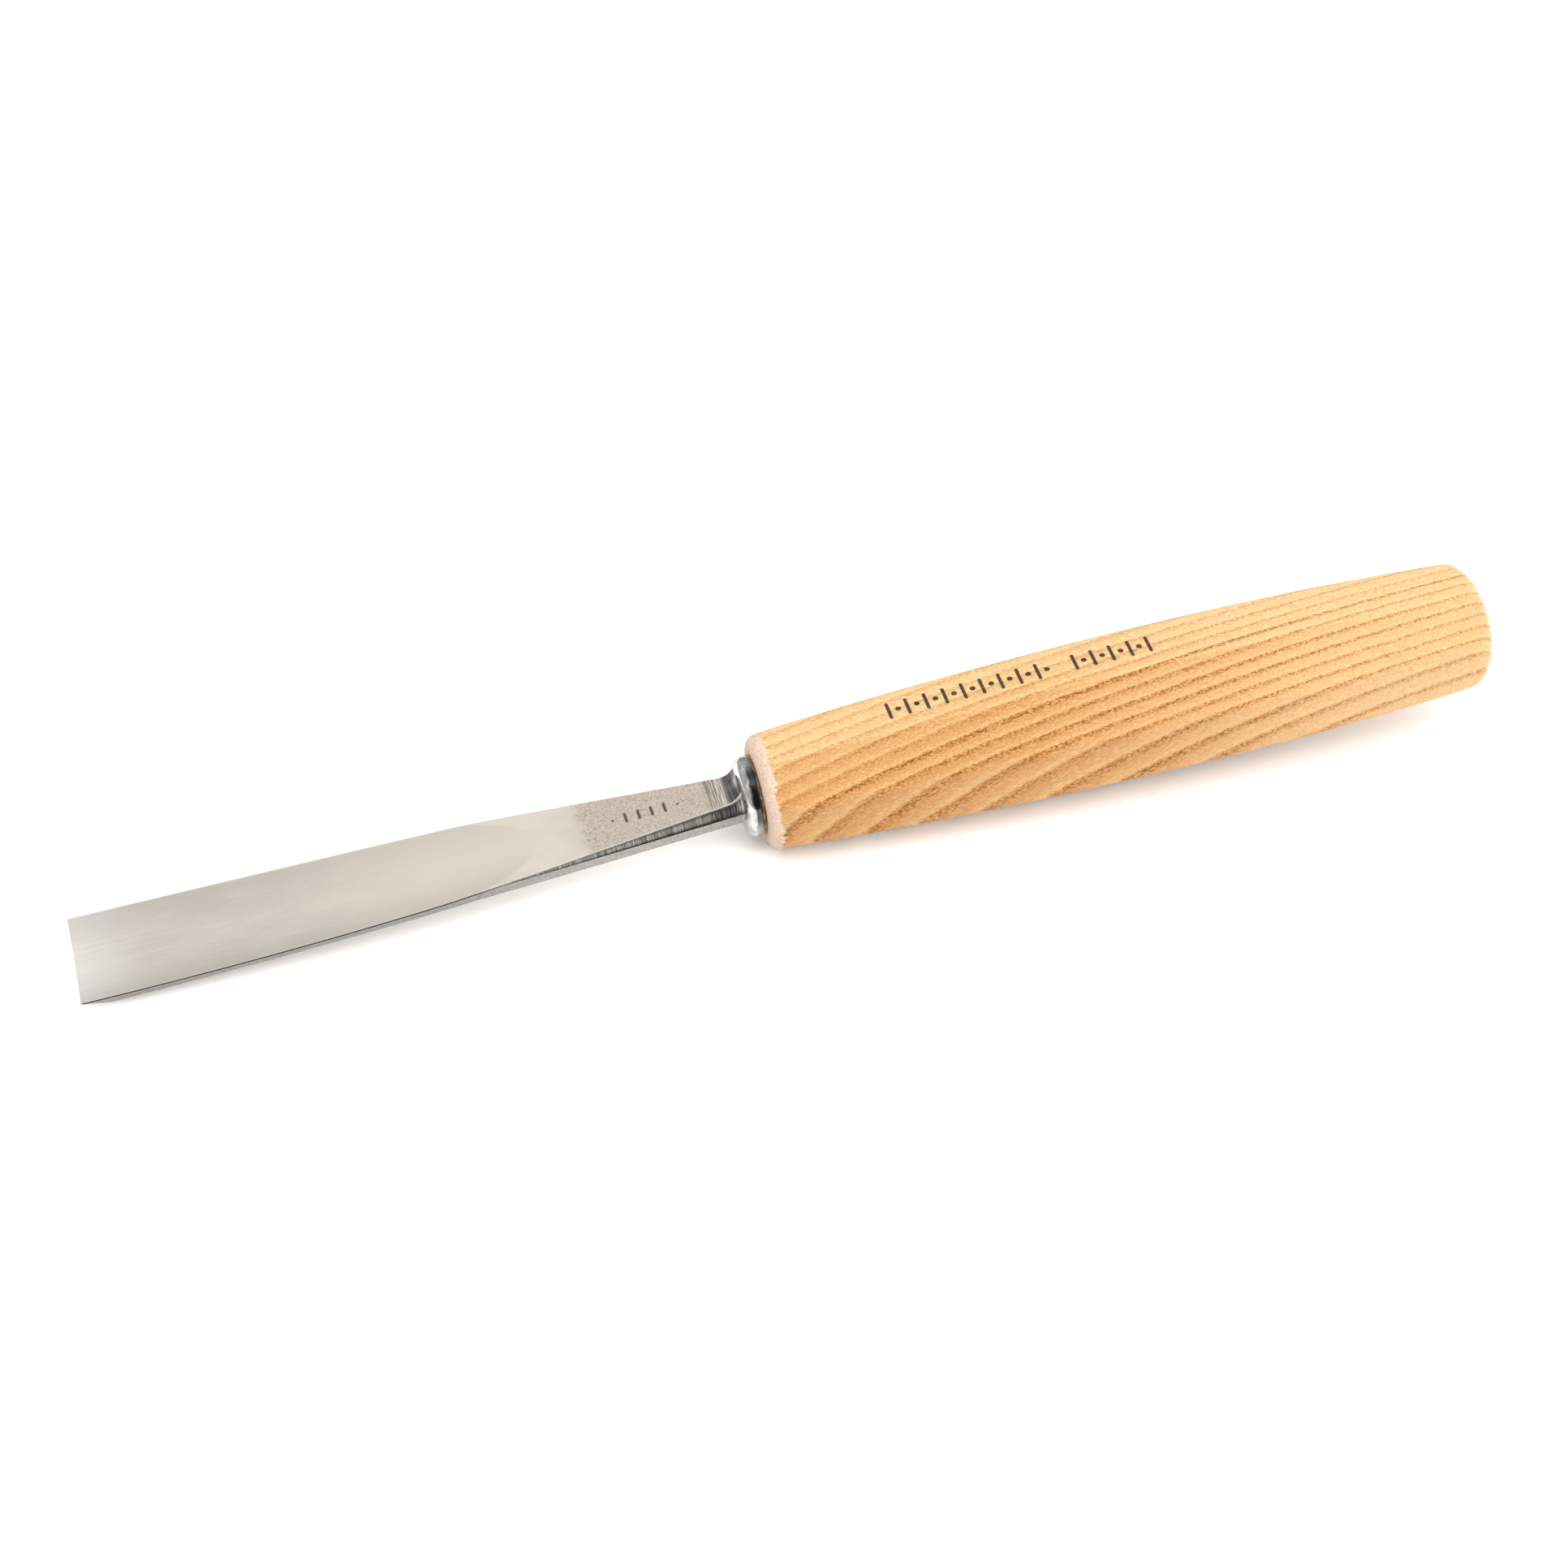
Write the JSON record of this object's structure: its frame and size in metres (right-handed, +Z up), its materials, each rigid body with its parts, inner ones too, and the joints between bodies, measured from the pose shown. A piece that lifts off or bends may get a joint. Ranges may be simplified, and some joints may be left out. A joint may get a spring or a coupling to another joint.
{
  "type": "wood-carving gouge",
  "caption": "Shallow-sweep wood-carving gouge: a forged steel blade, shank, bolster and tang, driven into an octagonal barrel handle of ash.",
  "frame": {"origin": "on the bench, under the middle of the tool's bounding box", "axes": "the tool as it lies on a bench by itself, channel up, on the heel of its bevel and the belly of its handle: +Z up, +X from the cutting edge towards the butt, +Y to the far side. The handle's axis climbs about 3 degrees towards the butt"},
  "size_m": [0.241, 0.0246, 0.0271],
  "materials": {
    "tool_steel": "satin ground blade, pitted forged shank, polished bolster",
    "ash_wood": "ring-porous ash with a thin satin lacquer",
    "ferrule_steel": "plain turned steel"
  },
  "bodies": {
    "root": {"gouge_forging": "tool_steel", "ash_handle": "ash_wood", "inner_ferrule": "ferrule_steel"}
  },
  "joints": []
}
